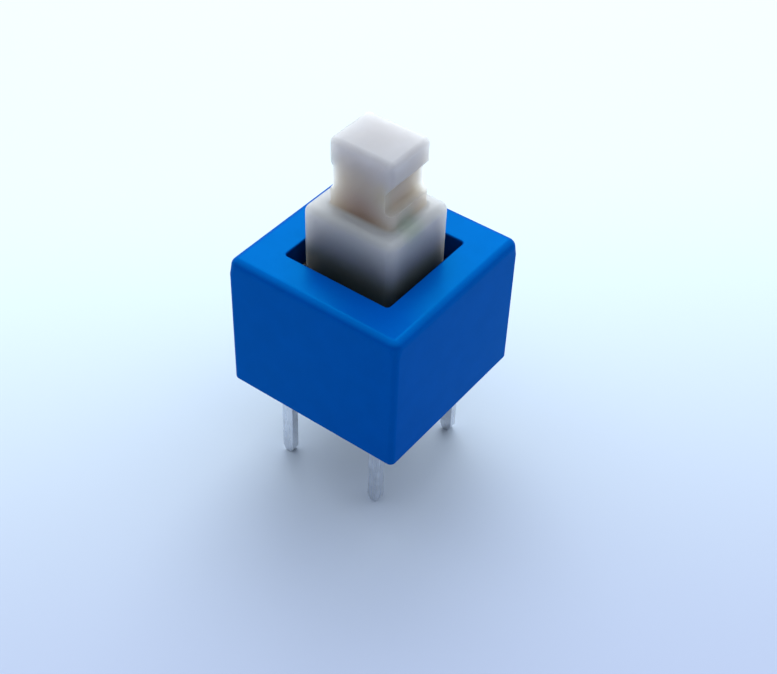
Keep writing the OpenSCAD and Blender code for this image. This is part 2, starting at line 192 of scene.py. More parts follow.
class SwitchBaseSettings(bpy.types.PropertyGroup):
    """Sizes and finish of the black base."""

    floor: length("Floor", "Thickness of the floor", 1.4, 1.0, 2.0)
    post: length("Post", "Width of the posts behind the blades", 1.3, 1.0, 1.6)
    recess: length("Recess", "Depth of the moulding recess underneath", 0.25, 0.05, 0.5)
    recess_width: length("Recess width", "Width of the moulding recess", 3.4, 2.0, 4.0)
    recess_radius: length("Recess radius", "Radius of the recess's corners", 0.3, 0.1, 0.6)
    peg: length("Peg", "Height of the peg inside the spring", 0.8, 0.2, 1.5)
    peg_gap: length("Peg gap", "Distance from the spring's outside to the peg", 0.32, 0.25, 0.5)
    corner: length("Corner radius", "Radius of the upright corners", 0.15, 0.05, 0.4)
    edge: length("Edge", "Rounding of the underside's edges", 0.04, 0.01, 0.1)
    colour: colour("Colour", "Colour of the moulded base", (0.02, 0.021, 0.024))


class SwitchMetalSettings(bpy.types.PropertyGroup):
    """Sizes of the terminals and finish of the metal pieces."""

    tin: colour("Tin", "Colour of the tinned terminals", (0.72, 0.74, 0.78))
    bronze: colour("Bronze", "Colour of the contact strip", (0.68, 0.40, 0.20))
    steel: colour("Steel", "Colour of the spring wire", (0.50, 0.51, 0.53))
    pin_width: length("Pin width", "Width of a pin below the base", 0.6, 0.4, 0.8)
    tip: length("Tip", "Length of the taper at a pin's tip", 0.3, 0.05, 0.6)
    chamfer: length("Blade corners", "Size of the chamfers at a blade's top corners", 0.2, 0.05, 0.3)
    burr: length("Stamped edge", "Rounding of the stamped edges", 0.05, 0.005, 0.08)


class SwitchSpringSettings(bpy.types.PropertyGroup):
    """Sizes of the return spring."""

    width: length("Width", "Width of the coil, between the middles of the wire", 1.75, 1.7, 1.85)
    wire: length("Wire", "Thickness of the wire", 0.2, 0.16, 0.22)
    play: length("Play", "Gap between each end of the spring and its seat", 0.02, 0.0, 0.05)
    turns: bpy.props.IntProperty(
        name="Turns", description="Number of turns, the two closed ends included", default=10, min=8, max=12)


class SwitchStageSettings(bpy.types.PropertyGroup):
    """Floor, light and camera."""

    floor_back: colour("Floor, back", "Colour of the floor behind the switch", (0.74, 0.86, 0.91))
    # Painted shade: the floor in front of the switch is darker, where less light falls.
    floor_front_shade: colour("Floor, front shade", "Painted shade of the floor in front of the switch", (0.47, 0.54, 0.74))
    backdrop: colour("Backdrop", "Colour beyond the floor's edge", (0.86, 0.97, 0.99))
    sky_colour: colour("Surrounding light", "Colour of the light from all round", (0.90, 0.96, 1.0))
    fill: bpy.props.FloatProperty(
        name="Light from behind", description="Strength of the surrounding light above and behind the switch",
        default=1.50, min=0.0, max=3.0)
    front: bpy.props.FloatProperty(
        name="Light from in front", description="Strength of the surrounding light in front of the switch",
        default=0.06, min=0.0, max=2.0)
    key: bpy.props.FloatProperty(
        name="Key light", description="Power of the large soft lamp behind the switch",
        default=0.09, min=0.0, max=10.0, unit="POWER")
    key_size: length("Key size", "Width of the large soft lamp", 110.0, 10.0, 300.0)
    key_colour: colour("Key colour", "Colour of the large soft lamp", (0.93, 0.97, 1.0))


# ---- modelling by hand


def deselect():
    """Leaves edit mode and selects nothing."""
    if bpy.context.object and bpy.context.object.mode != "OBJECT":
        bpy.ops.object.mode_set(mode="OBJECT")
    bpy.ops.object.select_all(action="DESELECT")


def take(obj):
    """Makes obj the one selected and active object."""
    deselect()
    obj.select_set(True)
    bpy.context.view_layer.objects.active = obj


def settle(obj, name):
    """Names a new primitive and moves its place into its mesh."""
    obj.name = name
    obj.data.name = name
    take(obj)
    bpy.ops.object.transform_apply(location=True, rotation=True, scale=True)
    return obj


def block(name, low, high):
    """A block between two corners."""
    deselect()
    low, high = Vector(low), Vector(high)
    bpy.ops.mesh.primitive_cube_add(size=1, location=(low + high) / 2)
    obj = bpy.context.object
    obj.scale = high - low
    return settle(obj, name)


def rod(name, radius, start, end, sides=48):
    """A round rod between two points."""
    deselect()
    start, end = Vector(start), Vector(end)
    along = end - start
    bpy.ops.mesh.primitive_cylinder_add(
        vertices=sides, radius=radius, depth=along.length, location=(start + end) / 2,
        rotation=along.to_track_quat("Z", "Y").to_euler())
    return settle(bpy.context.object, name)


def pick(obj, kind, test):
    """Enters edit mode and selects the vertices, edges or faces that pass the test."""
    take(obj)
    bpy.ops.object.mode_set(mode="EDIT")
    bpy.ops.mesh.select_mode(type=kind)
    bpy.ops.mesh.select_all(action="DESELECT")
    mesh = bmesh.from_edit_mesh(obj.data)
    parts = {"VERT": mesh.verts, "EDGE": mesh.edges, "FACE": mesh.faces}[kind]
    for part in parts:
        part.select_set(test(part))
    mesh.select_flush_mode()
    bmesh.update_edit_mesh(obj.data)


def move(obj, test, shift):
    """Slides the chosen vertices by a vector."""
    pick(obj, "VERT", test)
    bpy.ops.transform.translate(value=shift)
    deselect()


def stretch(obj, test, factors, centre):
    """Scales the chosen vertices about a centre."""
    pick(obj, "VERT", test)
    bpy.ops.transform.resize(value=factors, center_override=centre)
    deselect()


def score(obj, height):
    """Cuts a line of edges all round the piece at one height."""
    pick(obj, "FACE", lambda face: True)
    bpy.ops.mesh.bisect(plane_co=(0, 0, height), plane_no=(0, 0, 1), threshold=TINY)
    deselect()


def is_upright(edge):
    """True for an edge that runs along Z."""
    run = edge.verts[1].co - edge.verts[0].co
    return abs(run.z) > 0.999 * run.length


def lies_at(axis, value):
    """A test for edges that lie in the plane where one coordinate has a value."""
    return lambda edge: all(abs(v.co[axis] - value) < TINY for v in edge.verts)


def round_edges(obj, test, radius, segments=6):
    """Rounds the chosen edges to a radius."""
    pick(obj, "EDGE", test)
    bpy.ops.mesh.bevel(offset=radius, offset_type="OFFSET", segments=segments, profile=0.5, affect="EDGES",
                       clamp_overlap=False)
    deselect()
    return obj


def rounded_block(name, low, high, radius, segments=6):
    """A block with round upright edges, round top edges and ball corners between them."""
    on_top = lies_at(2, Vector(high).z)
    return round_edges(block(name, low, high), lambda e: is_upright(e) or on_top(e), radius, segments)


def pillar(name, low, high, radius, segments=4):
    """A block with round upright edges."""
    return round_edges(block(name, low, high), is_upright, radius, segments)


def rows(side, first, second):
    """Two distances to one side of the middle as places, the lower one first."""
    return sorted((side * first, side * second))


def modify(obj, kind, **settings):
    """Adds a modifier with these settings and applies it."""
    take(obj)
    modifier = obj.modifiers.new(kind.title(), kind)
    for key, value in settings.items():
        setattr(modifier, key, value)
    bpy.ops.object.modifier_apply(modifier=modifier.name)
    return obj


def soften(obj, width, segments, angle):
    """Rounds all edges where faces meet at more than an angle, in degrees."""
    return modify(obj, "BEVEL", width=width, segments=segments, limit_method="ANGLE",
                  angle_limit=math.radians(angle))


def combine(obj, tool, operation):
    """Cuts tool out of obj, or joins it to obj, and removes tool."""
    modify(obj, "BOOLEAN", object=tool, operation=operation, solver="EXACT")
    bpy.data.objects.remove(tool, do_unlink=True)
    return obj


def cut(obj, tool):
    return combine(obj, tool, "DIFFERENCE")


def weld(obj, tool):
    return combine(obj, tool, "UNION")


def paint(obj, finish):
    """Gives an object one finish."""
    obj.data.materials.clear()
    obj.data.materials.append(bpy.data.materials[finish])


def dress(obj, finish, body, node):
    """Brings a piece to metres and gives it its shading, its finish and its place in the frame."""
    modify(obj, "WELD", merge_threshold=SLIVER)
    pick(obj, "FACE", lambda face: True)
    bpy.ops.mesh.dissolve_degenerate(threshold=SLIVER)
    bpy.ops.object.mode_set(mode="OBJECT")
    bpy.ops.object.shade_smooth_by_angle(angle=SMOOTH)
    modify(obj, "WEIGHTED_NORMAL", keep_sharp=True, weight=90)
    obj.scale = (MM, MM, MM)
    take(obj)
    bpy.ops.object.transform_apply(location=True, rotation=True, scale=True)
    paint(obj, finish)
    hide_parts(node)
    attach(obj, body)


# ---- finishes

COLOUR, NUMBER, VECTOR = "NodeSocketColor", "NodeSocketFloat", "NodeSocketVector"
SURFACE = ((COLOUR, "Colour"), (NUMBER, "Roughness"), (VECTOR, "Normal"))
MASK = ((NUMBER, "Mask"),)


def add_node(tree, kind, place=(0, 0), **settings):
    """Adds a shader node with these settings."""
    node = tree.nodes.new("ShaderNode" + kind)
    node.location = place
    for key, value in settings.items():
        setattr(node, key, value)
    return node


def connect(tree, value, socket):
    """Links an output to a socket, or gives the socket a plain value."""
    if isinstance(value, bpy.types.NodeSocket):
        tree.links.new(value, socket)
    else:
        socket.default_value = value


def feed(tree, node, **values):
    """Sets or links a node's inputs. A name has _ where the input's label has a space."""
    for key, value in values.items():
        connect(tree, value, node.inputs[key.replace("_", " ")])
    return node


def calculate(tree, place, operation, *values, kind="Math", output="Value"):
    """The result of a maths node on these values."""
    node = add_node(tree, kind, place, operation=operation)
    for value, socket in zip(values, node.inputs):
        connect(tree, value, socket)
    return node.outputs[output]


def noise(tree, place, **values):
    """The level of a noise texture."""
    return feed(tree, add_node(tree, "TexNoise", place), **values).outputs["Fac"]


def spread(tree, place, level, ease="LINEAR", **limits):
    """A level brought from one pair of limits to another."""
    node = add_node(tree, "MapRange", place, interpolation_type=ease)
    return feed(tree, node, Value=level, **limits).outputs["Result"]


def mixed(tree, place, mask, first, second):
    """The first colour where the mask is 0, and the second where it is 1."""
    node = add_node(tree, "Mix", place, data_type="RGBA")
    return feed(tree, node, Factor=mask, A=first, B=second).outputs["Result"]


def bumped(tree, place, height, strength, depth):
    """The normal of a surface that carries this height. The depth is in millimetres."""
    node = add_node(tree, "Bump", place)
    return feed(tree, node, Height=height, Strength=strength, Distance=depth * MM).outputs["Normal"]


def parts_of(tree, place, vector):
    """The X, Y and Z of a vector."""
    return feed(tree, add_node(tree, "SeparateXYZ", place), Vector=vector).outputs


def start_group(name, outputs, inputs):
    """A node group with its outputs (kind, name) and its inputs (kind, name, default).

    Gives the group, its inputs' values, its output node and the place on the piece.
    """
    group = bpy.data.node_groups.new(name, "ShaderNodeTree")
    for kind, label, default in inputs:
        group.interface.new_socket(label, in_out="INPUT", socket_type=kind).default_value = default
    for kind, label in outputs:
        group.interface.new_socket(label, in_out="OUTPUT", socket_type=kind)
    given = group.nodes.new("NodeGroupInput")
    given.location = (-900, 0)
    out = group.nodes.new("NodeGroupOutput")
    out.location = (500, 0)
    where = add_node(group, "TexCoord", (-900, 300)).outputs["Object"]
    return group, given.outputs, out, where


def moulded_skin_group():
    """Cloudy colour, uneven gloss and the fine spark-eroded grain of a moulding."""
    group, given, out, where = start_group("Moulded skin", SURFACE, [
        (COLOUR, "Colour", (0.5, 0.5, 0.5, 1)), (COLOUR, "Shade", (0.4, 0.4, 0.4, 1)),
        (NUMBER, "Cloud size", 900.0), (NUMBER, "Roughness low", 0.35), (NUMBER, "Roughness high", 0.5),
        (NUMBER, "Grain size", 26000.0), (NUMBER, "Grain depth", 0.15)])
    cloud = noise(group, (-650, 250), Vector=where, Scale=given["Cloud size"], Detail=4.0, Roughness=0.6)
    patches = spread(group, (-400, 250), cloud, From_Min=0.35, From_Max=0.65)
    gloss = spread(group, (-150, 50), cloud, From_Min=0.3, From_Max=0.7,
                   To_Min=given["Roughness low"], To_Max=given["Roughness high"])
    grain = noise(group, (-400, -200), Vector=where, Scale=given["Grain size"], Detail=3.0, Roughness=0.7)
    feed(group, out, Colour=mixed(group, (-150, 300), patches, given["Colour"], given["Shade"]),
         Roughness=gloss, Normal=bumped(group, (150, -150), grain, given["Grain depth"], 0.004))


def drawn_metal_group():
    """Streaks along the metal, for strip that was rolled and wire that was drawn."""
    group, given, out, where = start_group("Drawn metal", SURFACE, [
        (COLOUR, "Colour", (0.7, 0.7, 0.7, 1)), (COLOUR, "Tarnish", (0.4, 0.4, 0.4, 1)),
        (NUMBER, "Streak size", 9000.0), (NUMBER, "Roughness low", 0.2), (NUMBER, "Roughness high", 0.4),
        (NUMBER, "Streak depth", 0.2), (VECTOR, "Stretch", (1.0, 1.0, 0.08))])
    mapping = add_node(group, "Mapping", (-700, 250))
    along = feed(group, mapping, Vector=where, Scale=given["Stretch"]).outputs["Vector"]
    streak = noise(group, (-500, 200), Vector=along, Scale=given["Streak size"], Detail=3.0)
    patches = noise(group, (-500, -50), Vector=where, Scale=1400.0, Detail=5.0, Roughness=0.65)
    tarnish = spread(group, (-250, -50), patches, From_Min=0.45, From_Max=0.75)
    gloss = spread(group, (0, 0), streak, From_Min=0.3, From_Max=0.7,
                   To_Min=given["Roughness low"], To_Max=given["Roughness high"])
    feed(group, out, Colour=mixed(group, (0, 200), tarnish, given["Colour"], given["Tarnish"]),
         Roughness=gloss, Normal=bumped(group, (200, -200), streak, given["Streak depth"], 0.003))


def height_mask_group():
    """A mask that rises from 0 to 1 between two heights, in millimetres."""
    group, given, out, where = start_group("Height mask", MASK, [(NUMBER, "From", 0.0), (NUMBER, "To", 1.0)])
    height = calculate(group, (-400, 150), "DIVIDE", parts_of(group, (-650, 200), where)["Z"], MM)
    level = spread(group, (-150, 0), height, "SMOOTHSTEP", From_Min=given["From"], From_Max=given["To"])
    feed(group, out, Mask=level)


def shade_spot_mask_group():
    """A mask that is 1 at a point and falls softly to 0 at a radius from it, for spots of painted shade."""
    group, given, out, where = start_group(
        "Shade spot mask", MASK, [(VECTOR, "Centre", (0.0, 0.0, 0.0)), (NUMBER, "Radius", 1 * MM)])
    away = calculate(group, (-450, 150), "DISTANCE", where, given["Centre"], kind="VectorMath")
    level = spread(group, (-150, 0), away, "SMOOTHSTEP", From_Min=given["Radius"], From_Max=0.0)
    feed(group, out, Mask=level)


def inside_shade_mask_group():
    """A mask of everything within a square round the middle axis and below a height, where shade is painted
    inside the case.
    """
    group, given, out, where = start_group(
        "Inside shade mask", MASK, [(NUMBER, "Half width", 3.0 * MM), (NUMBER, "Top", 11.12 * MM)])
    size = calculate(group, (-700, 300), "ABSOLUTE", where, kind="VectorMath", output="Vector")
    parts = parts_of(group, (-500, 300), size)
    widest = calculate(group, (-300, 300), "MAXIMUM", parts["X"], parts["Y"])
    within = calculate(group, (-100, 200), "LESS_THAN", widest, given["Half width"])
    below = calculate(group, (-100, 0), "LESS_THAN", parts["Z"], given["Top"])
    feed(group, out, Mask=calculate(group, (150, 100), "MULTIPLY", within, below))


def start_material(name):
    """A material with its Principled shader and output, and nothing else."""
    material = bpy.data.materials.new(name)
    material.use_nodes = True
    tree = material.node_tree
    tree.nodes.clear()
    shader = add_node(tree, "BsdfPrincipled", (300, 0))
    output = add_node(tree, "OutputMaterial", (650, 0))
    tree.links.new(shader.outputs["BSDF"], output.inputs["Surface"])
    return material, tree, shader


def use_group(tree, name, place, **values):
    """Places a node group with its own values."""
    node = add_node(tree, "Group", place)
    node.node_tree = bpy.data.node_groups[name]
    return feed(tree, node, **values).outputs


def opaque(colour):
    return (*colour, 1.0)


def darker(colour, factor):
    return (*[c * factor for c in colour], 1.0)


def moulded(name, colour, shade, specular=0.5, tint=(1, 1, 1), subsurface=0.0, reach=(1, 1, 1), depth=0.3,
            **skin):
    """A moulded plastic. The depth that light reaches in it is in millimetres."""
    material, tree, shader = start_material(name)
    face = use_group(tree, "Moulded skin", (-450, 100), Colour=opaque(colour), Shade=shade, **skin)
    feed(tree, shader, Base_Color=face["Colour"], Roughness=face["Roughness"], Normal=face["Normal"],
         Specular_IOR_Level=specular, Specular_Tint=opaque(tint), Subsurface_Weight=subsurface,
         Subsurface_Scale=depth * MM, Subsurface_Radius=reach)
    return material


def metal(name, colour, tarnish, **values):
    """A drawn or rolled metal."""
    material, tree, shader = start_material(name)
    face = use_group(tree, "Drawn metal", (-300, 0), Colour=opaque(colour), Tarnish=tarnish, **values)
    feed(tree, shader, Base_Color=face["Colour"], Roughness=face["Roughness"], Normal=face["Normal"],
         Metallic=1.0)
    return material


def cover(material, colour, group, **values):
    """Lays another colour over a material, where the mask of a group says."""
    tree = material.node_tree
    base = tree.nodes["Principled BSDF"].inputs["Base Color"]
    mask = use_group(tree, group, (-100, 400), **values)["Mask"]
    connect(tree, mixed(tree, (100, 300), mask, base.links[0].from_socket, opaque(colour)), base)


def fade(material, colour, start, end):
    """Turns a material to another colour from one height down to another, in millimetres."""
    cover(material, colour, "Height mask", From=start, To=end)


def spot_of_shade(material, colour, centre, radius):
    """Paints a spot of shade on a material, softly round one point. Sizes are in millimetres."""
    cover(material, colour, "Shade spot mask", Centre=[c * MM for c in centre], Radius=radius * MM)


# ---- operators


class SWITCH_OT_finishes(bpy.types.Operator):
    """Make the plastics and metals that the pieces share"""

    bl_idname = "switch.finishes"
    bl_label = "Finishes"

    def execute(self, context):
        for make_group in (moulded_skin_group, drawn_metal_group, height_mask_group, shade_spot_mask_group,
                           inside_shade_mask_group):
            make_group()
        size = context.scene.switch_case
        case = moulded("Blue case", size.colour, darker(size.colour, 0.94), specular=0.004,
                       tint=(0.0, 100.0, 180.0), Roughness_low=0.28, Roughness_high=0.34, Grain_depth=0.08)
        # Painted shade: the walls of the opening and the inside of the case turn darker blue, where little
        # light gets in.
        cover(case, size.inside_shade_colour, "Inside shade mask")
        black = context.scene.switch_base.colour
        moulded("Black base", black, darker(black, 1.5), Roughness_low=0.45, Roughness_high=0.62,
                Grain_size=18000.0, Grain_depth=0.35)
        finish_plunger(context.scene.switch_plunger)
        size = context.scene.switch_metal
        metal("Tinned strip", size.tin, darker(size.tin, 0.82), Roughness_low=0.24, Roughness_high=0.34,
              Streak_depth=0.05)
        metal("Bronze strip", size.bronze, darker(size.bronze, 0.6), Stretch=(0.08, 1.0, 1.0))
        metal("Steel wire", size.steel, darker(size.steel, 0.7), Roughness_low=0.14, Roughness_high=0.28)
        return {"FINISHED"}


def finish_plunger(size):
    """A milky plastic that light enters, with painted shade on the neck, at its root and corner, on the
    stem's foot and down the shoulder's sides into the case.
    """
    white = size.colour
    shade = (white[0] * 0.95, white[1] * 0.94, white[2] * 0.92, 1.0)
    plunger = moulded("White plunger", white, shade, specular=0.4, subsurface=1.0, reach=(1.0, 0.92, 0.84),
                      depth=5.0, Roughness_low=0.34, Roughness_high=0.5, Cloud_size=700.0, Grain_depth=0.1)
    head, neck, foot, top, deep = 16.6, 14.9, 13.68, 13.5, 10.6  # heights at which the colours change
    # Painted shade: warm shade on the neck below the head.
    fade(plunger, size.neck_shade_colour, head, neck)
    # Painted shade: brownish shade at the foot of the neck, where it meets the shoulder.
    spot_of_shade(plunger, size.root_shade_colour, (0.2, -1.45, 13.75), 1.55)
    # Painted shade: warm shade on the neck's front corner.
    spot_of_shade(plunger, size.corner_shade_colour, (1.35, -1.3, 15.0), 0.9)
    fade(plunger, size.shoulder_colour, foot, top)
    # Painted shade: dull greenish shade on the +X side of the stem's foot.
    spot_of_shade(plunger, size.foot_shade_colour, (1.9, -0.4, 13.45), 1.05)
    # Painted shade: the shoulder's sides darken from its top down into the case.
    fade(plunger, size.skirt_shade_colour, top, deep)


class SWITCH_OT_inner_finishes(bpy.types.Operator):
    """Give the hidden pieces of the frame their finish"""

    bl_idname = "switch.inner_finishes"
    bl_label = "Inner pieces"

    def execute(self, context):
        finishes = {
            "latch_wire": "Steel wire", "latch_leaf": "Bronze strip",
            "contact_front": "Bronze strip", "contact_rear": "Bronze strip",
        }
        for name, finish in finishes.items():
            paint(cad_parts[name], finish)
        return {"FINISHED"}


class SWITCH_OT_case(bpy.types.Operator):
    """Model the case: one moulded shell with a square opening in its roof"""

    bl_idname = "switch.case"
    bl_label = "Case"

    def execute(self, context):
        size = context.scene.switch_case
        low, high = node_box("case")
        floor = floor_level()
        inner = high.x - in_mm(size.wall)
        roof = high.z - in_mm(size.roof)
        half = in_mm(size.opening) / 2
        radius = in_mm(size.top_radius)
        case = rounded_block("case_shell", low, high, radius, 8)
        tighten_corners(case, high, radius, in_mm(size.corner_radius) / radius)
        inner_radius = in_mm(size.inner_radius)
        cut(case, pillar("inside", (-inner, -inner, low.z - REACH), (inner, inner, roof), inner_radius))
        cut(case, pillar("opening", (-half, -half, roof - REACH / 2), (half, half, high.z + REACH),
                         inner_radius))
        guide = in_mm(size.guide_width) / 2
        weld(case, block("guide", (inner - in_mm(size.guide_depth), -guide, floor + FIT),
                         (inner + LAP, guide, roof + LAP)))
        pocket = BARB_HALF + FIT
        for side in (-1, 1):
            near, far = rows(side, inner - LAP, inner + in_mm(size.pocket))
            cut(case, block("pocket", (-pocket, near, floor - BARB_FOOT - FIT),
                            (pocket, far, floor - BARB_HEAD + FIT)))
        leaf_low, leaf_high = node_box("latch_leaf")
        cut(case, block("leaf_seat", (leaf_low.x - PRESS, leaf_low.y - FIT, low.z - LAP),
                        (LAP - inner, leaf_high.y + FIT, roof - FIT)))
        round_edges(case, rim_of_opening(half, high.z), in_mm(size.lip), 3)
        round_edges(case, outline_at(high.x, low.z), in_mm(size.rim), 2)
        dress(case, "Blue case", "housing", "case")
        return {"FINISHED"}


def tighten_corners(case, high, radius, share):
    """Brings the upright corners in to a share of their radius, from one radius below the top's rounding."""
    level = high.z - 2 * radius
    score(case, level)
    for x in (-1, 1):
        for y in (-1, 1):
            stretch(
                case,
                lambda v: v.co.z < level + TINY and v.co.x * x > high.x - radius - TINY
                and v.co.y * y > high.y - radius - TINY,
                (share, share, 1), (x * high.x, y * high.y, 0))


def offset(vertex):
    """How far a vertex stands from the middle axis, measured square."""
    return max(abs(vertex.co.x), abs(vertex.co.y))


def rim_of_opening(half, level):
    """A test for the edges round a square opening at one level."""
    at_level = lies_at(2, level)
    return lambda edge: at_level(edge) and all(offset(v) < half + TINY for v in edge.verts)


def outline_at(half, level):
    """A test for the outermost edges of the piece at one level."""
    at_level = lies_at(2, level)
    return lambda edge: at_level(edge) and all(offset(v) > half - ARC for v in edge.verts)


class SWITCH_OT_plunger(bpy.types.Operator):
    """Model the plunger: skirt, shoulder and grooved stem, with the heart cam on its side"""

    bl_idname = "switch.plunger"
    bl_label = "Plunger"

    def execute(self, context):
        size = context.scene.switch_plunger
        case = context.scene.switch_case
        low, high = node_box("plunger")
        case_top = node_box("case")[1]
        shoulder = case_top.z + in_mm(size.shoulder_top)
        half = Vector((in_mm(size.shoulder_width) / 2, in_mm(size.shoulder_depth) / 2))
        plunger = rounded_block("plunger_moulding", (-half.x, -half.y, low.z), (half.x, half.y, shoulder),
                                in_mm(size.shoulder_radius))
        weld(plunger, shaped_stem(size, shoulder, high.z))
        fillet_root(plunger, size, shoulder)
        skirt_top = case_top.z - in_mm(case.roof) - FIT
        weld(plunger, pillar("skirt", low, (high.x, high.y, skirt_top), in_mm(size.skirt_radius)))
        cut_contact_pockets(plunger, size, high)
        cut(plunger, rod("bore", in_mm(size.bore), (0, 0, low.z - LAP),
                         (0, 0, low.z + in_mm(size.bore_depth)), 64))
        cut_heart_cam(plunger, size, in_mm(size.cam_depth) - half.x, low.z)
        groove = case_top.x - in_mm(case.wall) - in_mm(case.guide_depth) - SLIDE
        guide = in_mm(case.guide_width) / 2 + SLIDE
        cut(plunger, block("guide_groove", (groove, -guide, low.z - REACH),
                           (high.x + REACH, guide, skirt_top + REACH)))
        dress(plunger, "White plunger", "plunger", "plunger")
        return {"FINISHED"}


def shaped_stem(size, foot_level, top):
    """The stem that takes a button cap, with a snap groove on two sides."""
    shift = in_mm(size.stem_shift)
    half = Vector((in_mm(size.stem_width) / 2, in_mm(size.stem_depth) / 2))
    stem = rounded_block("stem", (shift - half.x, -half.y, foot_level - in_mm(size.shoulder_radius)),
                         (shift + half.x, half.y, top), in_mm(size.stem_radius))
    foot = foot_level + in_mm(size.foot)
    head = top - in_mm(size.head)
    for side, depth, slope in ((1, in_mm(size.groove_deep), in_mm(size.head_slope)),
                               (-1, in_mm(size.groove_shallow), in_mm(size.groove_shallow))):
        wall = shift + side * half.x
        floor = wall - side * depth
        near, far = sorted((floor, wall + side * REACH))
        groove = block("groove", (near, -half.y - REACH, foot), (far, half.y + REACH, head))
        score(groove, head - slope)
        on_floor = lies_at(0, floor)
        on_foot = lies_at(2, foot)
        move(groove, lambda v: abs(v.co.x - floor) < TINY and v.co.z > head - TINY, (side * depth, 0, 0))
        round_edges(groove, lambda edge: on_floor(edge) and on_foot(edge), in_mm(size.groove_radius), 4)
        cut(stem, groove)
    return soften(stem, in_mm(size.groove_edge), 3, 35)


def fillet_root(plunger, size, level):
    """Fills the corner between the stem and the top of the shoulder with a round fillet."""
    reach = Vector((in_mm(size.stem_width) / 2 + TINY, in_mm(size.stem_depth) / 2 + TINY))
    shift = in_mm(size.stem_shift)
    at_level = lies_at(2, level)
    round_edges(
        plunger,
        lambda edge: at_level(edge) and all(
            abs(v.co.x - shift) < reach.x and abs(v.co.y) < reach.y for v in edge.verts),
        in_mm(size.root_radius), 5)


def cut_contact_pockets(plunger, size, high):
    """Cuts the two pockets for the bridging contacts, each with its stake left standing."""
    low_z, high_z = (node_box("contact_front")[i].z for i in (0, 1))
    floor = high.y - in_mm(size.contact_pocket)
    tip = floor + in_mm(size.stake_height)
    middle = (low_z + high_z) / 2
    for side in (-1, 1):
        near, far = rows(side, floor, high.y + REACH)
        cut(plunger, block("pocket", (-high.x - REACH, near, low_z - FIT),
                           (high.x + REACH, far, high_z + FIT)))
        weld(plunger, rod("stake", in_mm(size.stake), (0, side * (floor - LAP), middle),
                          (0, side * tip, middle), 32))


def cut_heart_cam(plunger, size, face, skirt):
    """Cuts the sunken face and the heart-shaped track that the latch wire follows."""
    wire_low, wire_high = node_box("latch_wire")
    radius = (wire_high.y - wire_low.y) / 2
    width = 2 * (radius + SLIDE)
    rest = Vector(((wire_low.y + wire_high.y) / -2, wire_high.z - radius))
    top, hold, bend = 2.3, 1.6, 1.0  # heights of the track's top, its catch and its bend back, above the rest
    swing, catch, back = 0.5, 0.22, 0.82  # how far aside the wire goes when pushed, when caught, when let go
    push_end = rest + Vector((swing, top))
    over_catch = rest + Vector((-catch, top))
    catch_point = rest + Vector((-catch, hold))
    return_top = rest + Vector((-back, top))
    return_mid = rest + Vector((-back, bend))
    deep, step = in_mm(size.track), in_mm(size.track_step)
    half = in_mm(size.cam_width) / 2
    margin = 0.15   # height of the sunken face above the track
    outside = -4.5  # clear of the plunger
    pit_step = 0.01  # how much narrower the pit is, so that its wall stays clear of the track's
    cut(plunger, block("cam_face", (outside, -half, skirt - REACH),
                       (face, half, rest.y + top + width / 2 + margin)))
    for start, end, depth in (
            (rest, push_end, deep - 2 * step), (push_end, over_catch, deep - step),
            (over_catch, catch_point, deep), (over_catch, return_top, deep),
            (return_top, return_mid, deep - step), (return_mid, rest, deep - 2 * step)):
        cut(plunger, track_cutter(start, end, width, face, depth))
    cut(plunger, rod("pit", width / 2 - pit_step, (face - REACH, -rest.x, rest.y),
                     (face + deep, -rest.x, rest.y), 24))


def track_cutter(start, end, width, face, depth):
    """A cutter with round ends for one stretch of the track. Points are (towards -Y, up)."""
    middle = Vector((0, -start.x, start.y))
    run = Vector((0, start.x - end.x, end.y - start.y))
    tool = rod("track", width / 2, middle + Vector((face - REACH, 0, 0)),
               middle + Vector((face + depth, 0, 0)), 24)
    move(tool, lambda v: (v.co - middle).dot(run) > TINY, run)
    return tool


class SWITCH_OT_base(bpy.types.Operator):
    """Model the base: a moulded floor with posts, snap barbs, a spring peg and the latch pivot"""

    bl_idname = "switch.base"
    bl_label = "Base"

    def execute(self, context):
        size = context.scene.switch_base
        low, high = node_box("base")
        half = high.x
        floor = floor_level()
        base = pillar("base_moulding", (-half, -half, low.z), (half, half, floor), in_mm(size.corner))
        peg_radius = node_box("return_spring")[1].x - in_mm(size.peg_gap)
        weld(base, rod("peg", peg_radius, (0, 0, floor - LAP), (0, 0, floor + in_mm(size.peg))))
        for name in TERMINALS:
            add_post(base, name, half, floor, high.z, in_mm(size.post))
        for side in (-1, 1):
            weld(base, barb(side, half, high.y, floor))
        for name in TERMINALS:
            cut_pin_slot(base, name, low.z, floor, in_mm(context.scene.switch_metal.pin_width))
        recess = in_mm(size.recess_width) / 2
        cut(base, pillar("recess", (-recess, -recess, low.z - REACH),
                         (recess, recess, low.z + in_mm(size.recess)), in_mm(size.recess_radius)))
        cut_latch_well(base, half, floor)
        round_edges(base, outline_at(half, low.z), in_mm(size.edge), 2)
        dress(base, "Black base", "housing", "base")
        return {"FINISHED"}


def add_post(base, name, half, floor, top, width):
    """Stands a post behind a terminal's blade. Over a short blade it steps forward."""
    low, high = node_box(name)
    middle = (low.x + high.x) / 2
    left, right = middle - width / 2, middle + width / 2
    side = 1 if high.y > 0 else -1
    front, back = sorted((abs(low.y), abs(high.y)))
    near, far = rows(side, back, half)
    weld(base, block("post", (left, near, floor - LAP), (right, far, top)))
    shortfall = 1.0  # a blade that ends this far below the post is a short one
    if high.z < top - shortfall:
        near, far = rows(side, front + PRESS, back + LAP)
        weld(base, block("step", (left, near, high.z + FIT), (right, far, top)))


